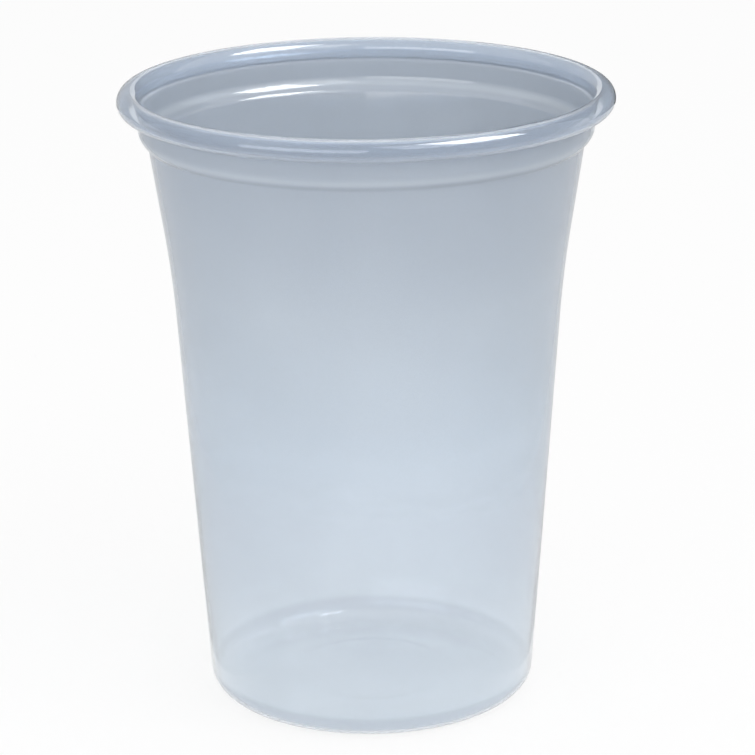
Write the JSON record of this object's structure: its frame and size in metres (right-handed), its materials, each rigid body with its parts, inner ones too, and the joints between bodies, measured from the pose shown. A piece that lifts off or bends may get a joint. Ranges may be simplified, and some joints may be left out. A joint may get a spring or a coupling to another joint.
{
  "type": "plastic disposable cup",
  "caption": "Tall one-piece thermoformed cup of translucent plastic, with a rolled rim, a stacking shoulder, a flared wall and a slightly raised floor.",
  "frame": {"origin": "centre of the standing ring, on the surface that the cup stands on", "axes": "+Z along the cup's axis, up to the mouth; X and Y are level and alike, because the cup is a body of revolution"},
  "size_m": [0.098, 0.098, 0.1255],
  "materials": {
    "cup_plastic": "glossy translucent polypropylene, clear near the base and hazier towards the rim"
  },
  "bodies": {
    "root": {"cup": "cup_plastic"}
  },
  "joints": []
}
